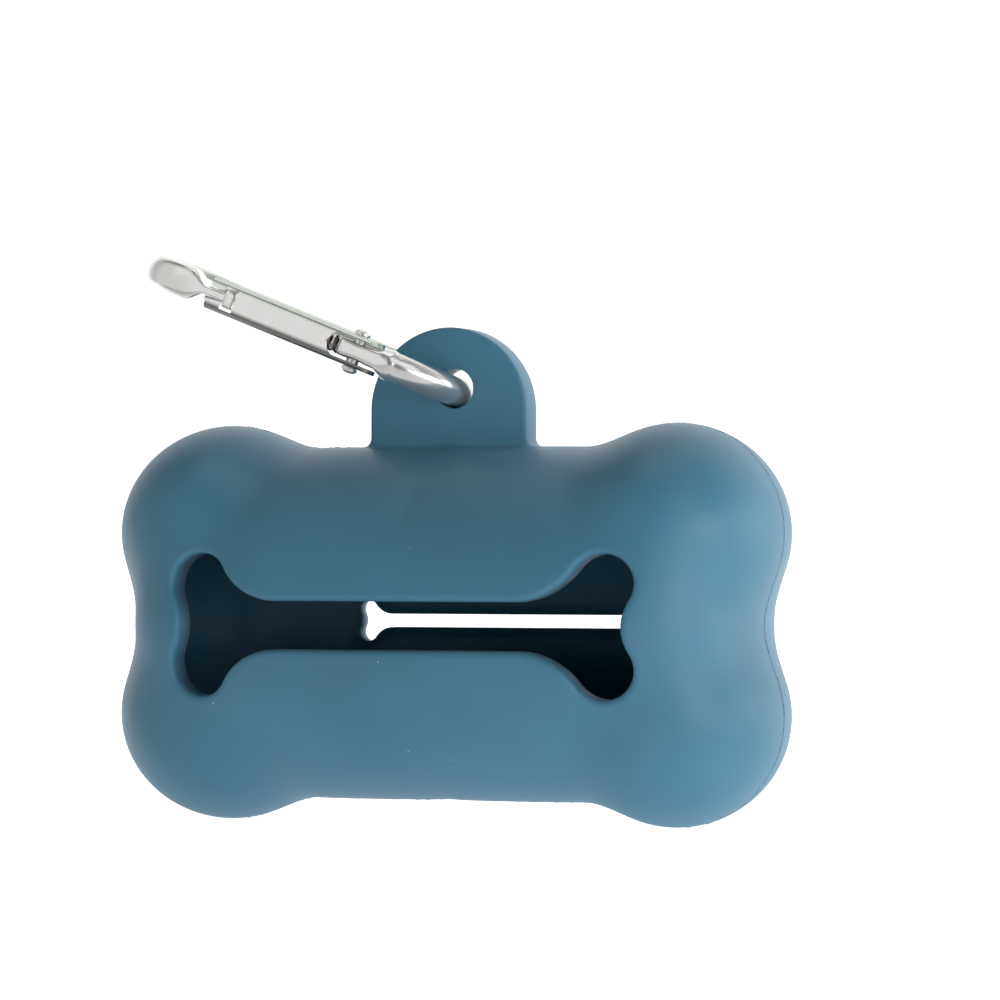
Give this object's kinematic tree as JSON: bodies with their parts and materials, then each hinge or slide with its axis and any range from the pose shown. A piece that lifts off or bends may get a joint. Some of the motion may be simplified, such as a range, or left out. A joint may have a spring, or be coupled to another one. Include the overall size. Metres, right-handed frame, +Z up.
{
  "type": "dog poop bag dispenser",
  "caption": "Hollow bone-shaped soft case with a wide loading slot in front and a narrow dispensing slot behind, hung by its tab's eye from a small sprung clip.",
  "frame": {"origin": "under the middle of the case, level with the bottoms of its lower knobs", "axes": "+X along the case to the right, +Y to the back where the narrow slot is, +Z up to the tab"},
  "size_m": [0.0798, 0.0406, 0.0663],
  "materials": {
    "silicone": "matte moulded silicone, blue-grey teal",
    "clip_metal": "nickel-plated steel wire, bright with fine draw marks",
    "gate_sheet": "nickel-plated folded steel sheet, bright",
    "rivet_metal": "nickel-plated steel rivet",
    "spring_wire": "bright drawn spring wire",
    "guide_metal": "dull turned brass"
  },
  "bodies": {
    "clip": {"clip_frame": "clip_metal", "gate_rivet": "rivet_metal"},
    "gate": {"clip_gate": "gate_sheet", "gate_spring": "spring_wire", "spring_guide": "guide_metal"},
    "case": {"case": "silicone"}
  },
  "joints": [
    {"name": "eye_swing", "type": "hinge", "parent": "clip", "child": "case", "pos_m": [0.0008, 0, 0.0502], "axis": [0, 1, 0], "range_deg": [-160, 23]},
    {"name": "gate_hinge", "type": "hinge", "parent": "clip", "child": "gate", "pos_m": [-0.00903, -0.00796, 0.05445], "axis": [-0.3631, -0.0976, -0.9266], "range_deg": [0, 30], "stiffness_Nm_per_rad": 0.005, "springref_deg": -57.3, "deforming": ["gate_spring"]}
  ]
}
